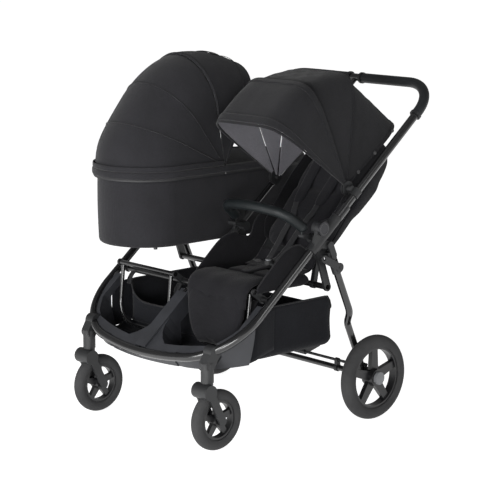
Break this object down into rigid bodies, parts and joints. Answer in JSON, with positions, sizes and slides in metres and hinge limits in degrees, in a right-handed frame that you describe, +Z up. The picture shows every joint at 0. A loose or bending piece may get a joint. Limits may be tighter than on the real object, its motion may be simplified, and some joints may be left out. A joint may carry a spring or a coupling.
{
  "type": "side by side double stroller",
  "caption": "Folding side by side stroller with a lift-off hooded carrycot on one place, a reclining seat with canopy on the other, swivel front wheels and a basket below.",
  "frame": {"origin": "on the floor, at the middle of the bounding box", "axes": "+Z up, the front faces -Y, +X is the seat's side and -X the carrycot's side"},
  "size_m": [0.778, 0.958, 1.1109],
  "materials": {
    "frame_gloss": "gloss black",
    "tube_black": "satin black",
    "pin_steel": "dark steel",
    "plastic_dark": "fine grain",
    "tray_plastic": "fine grain",
    "sleeve_gloss": "gloss",
    "leatherette": "grained leatherette",
    "cloth_black": "woven",
    "webbing": "webbing",
    "cot_edge": "cloth covered",
    "mattress_cloth": "soft",
    "tyre_rubber": "foam filled",
    "rim_plastic": "satin",
    "cap_grey": "satin"
  },
  "bodies": {
    "frame": {"front_frame_tube": "frame_gloss", "centre_tube": "frame_gloss", "seat_cross_tubes": "tube_black", "lower_hubs": "plastic_dark", "pivot_pins": "pin_steel", "castor_housings": "plastic_dark", "footrest_tray": "tray_plastic", "calf_hinges": "plastic_dark", "seat_pad": "cloth_black", "crotch_strap": "webbing", "buckle": "plastic_dark", "basket": "cloth_black", "cot_adaptors": "plastic_dark"},
    "buckle_button": {"buckle_button": "cap_grey"},
    "handle_frame": {"push_bar_tube": "frame_gloss", "centre_upper_tube": "frame_gloss", "upper_hubs": "plastic_dark", "grips": "leatherette", "grip_collars": "plastic_dark", "canopy_brackets": "plastic_dark", "canopy_rear_panel": "cloth_black"},
    "fold_sleeves": {"fold_sleeves": "sleeve_gloss"},
    "canopy_front_link": {"canopy_front_discs": "plastic_dark"},
    "canopy_front": {"canopy_front_panel": "cloth_black", "canopy_brim_bow": "cloth_black"},
    "canopy_mid_link": {"canopy_mid_discs": "plastic_dark"},
    "canopy_mid": {"canopy_mid_panel": "cloth_black"},
    "rear_frame": {"rear_legs": "frame_gloss", "leg_fittings": "plastic_dark", "rear_axle_bar": "tube_black", "rear_hub_caps": "cap_grey"},
    "fold_catch": {"fold_catch": "plastic_dark"},
    "brake": {"brake_pedal": "plastic_dark"},
    "left_castor": {"left_castor_fork": "plastic_dark"},
    "right_castor": {"right_castor_fork": "plastic_dark"},
    "left_front_wheel": {"left_front_tyre": "tyre_rubber", "left_front_rim": "rim_plastic"},
    "right_front_wheel": {"right_front_tyre": "tyre_rubber", "right_front_rim": "rim_plastic"},
    "left_rear_wheel": {"left_rear_tyre": "tyre_rubber", "left_rear_rim": "rim_plastic"},
    "right_rear_wheel": {"right_rear_tyre": "tyre_rubber", "right_rear_rim": "rim_plastic"},
    "left_calf": {"left_calf_frame": "frame_gloss"},
    "right_calf": {"right_calf_frame": "frame_gloss", "calf_rest_pad": "cloth_black"},
    "backrest": {"backrest_board": "plastic_dark", "backrest_pad": "cloth_black", "shoulder_harness": "webbing"},
    "bumper": {"bumper_bar": "leatherette"},
    "bumper_button": {"bumper_button": "cap_grey"},
    "carrycot": {"cot_tub": "cloth_black", "cot_rim": "cot_edge", "cot_fittings": "plastic_dark", "cot_mattress": "mattress_cloth", "cot_apron": "cloth_black", "cot_hood_front": "cloth_black"},
    "cot_hood": {"cot_hood_rear": "cloth_black", "cot_carry_handle": "webbing"},
    "cot_hood_middle": {"cot_hood_mid": "cloth_black"}
  },
  "joints": [
    {"name": "frame_fold", "type": "hinge", "parent": "frame", "child": "handle_frame", "pos_m": [0, -0.04958, 0.61861], "axis": [1, 0, 0], "range_deg": [0, 144]},
    {"name": "rear_leg_fold", "type": "hinge", "parent": "frame", "child": "rear_frame", "pos_m": [0, -0.01223, 0.56386], "axis": [1, 0, 0], "range_deg": [-48, 0]},
    {"name": "fold_release", "type": "slide", "parent": "handle_frame", "child": "fold_sleeves", "axis": [0, 0.7716, 0.6361], "range_m": [0, 0.012], "stiffness_N_per_m": 700},
    {"name": "fold_catch_turn", "type": "hinge", "parent": "rear_frame", "child": "fold_catch", "pos_m": [0.37, 0.01798, 0.49521], "axis": [1, 0, 0], "range_deg": [0, 30]},
    {"name": "brake_press", "type": "hinge", "parent": "rear_frame", "child": "brake", "pos_m": [0, 0.17823, 0.155], "axis": [1, 0, 0], "range_deg": [-20, 0]},
    {"name": "canopy_front_fold", "type": "hinge", "parent": "handle_frame", "child": "canopy_front_link", "pos_m": [0.1735, 0.08732, 0.71979], "axis": [1, 0, 0], "range_deg": [-59.52, 0]},
    {"name": "canopy_open", "type": "hinge", "parent": "canopy_front_link", "child": "canopy_front", "pos_m": [0.1735, 0.08732, 0.71979], "axis": [1, 0, 0], "range_deg": [-62, 0]},
    {"name": "canopy_mid_fold", "type": "hinge", "parent": "handle_frame", "child": "canopy_mid_link", "pos_m": [0.1735, 0.08732, 0.71979], "axis": [1, 0, 0], "range_deg": [-29.76, 0]},
    {"name": "canopy_mid_open", "type": "hinge", "parent": "canopy_mid_link", "child": "canopy_mid", "pos_m": [0.1735, 0.08732, 0.71979], "axis": [1, 0, 0], "range_deg": [-31, 0]},
    {"name": "left_swivel", "type": "hinge", "parent": "frame", "child": "left_castor", "pos_m": [-0.2765, -0.42077, 0.2], "axis": [0, 0, 1], "continuous": true},
    {"name": "right_swivel", "type": "hinge", "parent": "frame", "child": "right_castor", "pos_m": [0.2765, -0.42077, 0.2], "axis": [0, 0, 1], "continuous": true},
    {"name": "left_front_spin", "type": "hinge", "parent": "left_castor", "child": "left_front_wheel", "pos_m": [-0.2765, -0.38777, 0.09], "axis": [1, 0, 0], "continuous": true},
    {"name": "right_front_spin", "type": "hinge", "parent": "right_castor", "child": "right_front_wheel", "pos_m": [0.2765, -0.38777, 0.09], "axis": [1, 0, 0], "continuous": true},
    {"name": "left_rear_spin", "type": "hinge", "parent": "rear_frame", "child": "left_rear_wheel", "pos_m": [-0.359, 0.17823, 0.131], "axis": [1, 0, 0], "continuous": true},
    {"name": "right_rear_spin", "type": "hinge", "parent": "rear_frame", "child": "right_rear_wheel", "pos_m": [0.359, 0.17823, 0.131], "axis": [1, 0, 0], "continuous": true},
    {"name": "left_calf_tilt", "type": "hinge", "parent": "frame", "child": "left_calf", "pos_m": [-0.176, -0.26977, 0.452], "axis": [1, 0, 0], "range_deg": [-80, 0]},
    {"name": "right_calf_tilt", "type": "hinge", "parent": "frame", "child": "right_calf", "pos_m": [0.176, -0.26977, 0.452], "axis": [1, 0, 0], "range_deg": [-80, 0]},
    {"name": "seat_recline", "type": "hinge", "parent": "frame", "child": "backrest", "pos_m": [0.1735, 0.00423, 0.432], "axis": [1, 0, 0], "range_deg": [-28, 8]},
    {"name": "bumper_gate", "type": "hinge", "parent": "frame", "child": "bumper", "pos_m": [0.318, -0.08777, 0.596], "axis": [0, 0, -1], "range_deg": [-60, 0]},
    {"name": "bumper_release", "type": "slide", "parent": "bumper", "child": "bumper_button", "axis": [0, -0.788, 0.6157], "range_m": [0, 0.003], "stiffness_N_per_m": 300},
    {"name": "buckle_press", "type": "slide", "parent": "frame", "child": "buckle_button", "axis": [0, 0.0199, -0.9998], "range_m": [0, 0.0026], "stiffness_N_per_m": 300},
    {"name": "cot_lift", "type": "slide", "parent": "frame", "child": "carrycot", "axis": [0, 0, 1], "range_m": [0, 0.12]},
    {"name": "cot_hood_turn", "type": "hinge", "parent": "carrycot", "child": "cot_hood", "pos_m": [-0.173, -0.09177, 0.7708], "axis": [1, 0, 0], "range_deg": [0, 80]},
    {"name": "cot_hood_mid_turn", "type": "hinge", "parent": "carrycot", "child": "cot_hood_middle", "pos_m": [-0.173, -0.09177, 0.7708], "axis": [1, 0, 0], "range_deg": [0, 40]}
  ],
  "couplings": [
    {"joint": "rear_leg_fold", "follows": "frame_fold", "ratio": -0.33333},
    {"joint": "canopy_front_fold", "follows": "frame_fold", "ratio": -0.41333},
    {"joint": "canopy_mid_fold", "follows": "frame_fold", "ratio": -0.20667},
    {"joint": "canopy_mid_open", "follows": "canopy_open", "ratio": 0.5},
    {"joint": "cot_hood_mid_turn", "follows": "cot_hood_turn", "ratio": 0.5}
  ]
}
